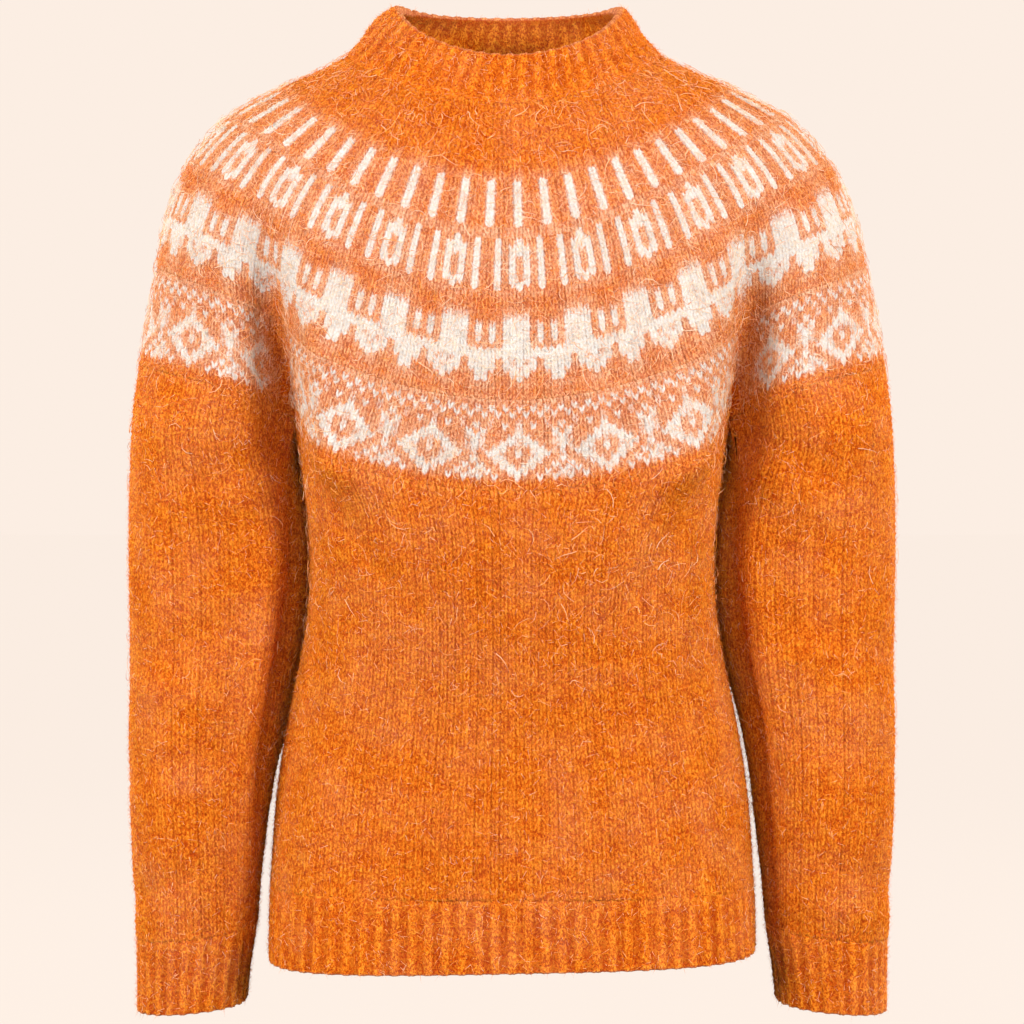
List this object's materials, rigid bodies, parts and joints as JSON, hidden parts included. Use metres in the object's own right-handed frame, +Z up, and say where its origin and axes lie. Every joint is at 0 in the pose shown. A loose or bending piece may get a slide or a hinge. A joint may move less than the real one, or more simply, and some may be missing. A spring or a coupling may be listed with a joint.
{
  "type": "round-yoke patterned knitted jumper",
  "caption": "Wool jumper with a round yoke patterned in a contrast colour, a short ribbed neckband, long sleeves, ribbed cuffs and a ribbed hem, filled out as when worn.",
  "frame": {"origin": "middle of the neck opening, at the height where the neckband meets the shoulders", "axes": "+Z up along the body, -Y towards the front, +X towards the sleeve on the right of a viewer in front"},
  "size_m": [0.5374, 0.2181, 0.7013],
  "materials": {
    "plain_wool": "brushed orange wool, stocking stitch and rib",
    "yoke_wool": "brushed orange wool with cream stranded pattern"
  },
  "bodies": {
    "root": {"neckband": "plain_wool", "yoke": "yoke_wool", "body": "plain_wool", "hem_rib": "plain_wool", "sleeve_right": "plain_wool", "sleeve_left": "plain_wool", "cuff_right": "plain_wool", "cuff_left": "plain_wool"}
  },
  "joints": []
}
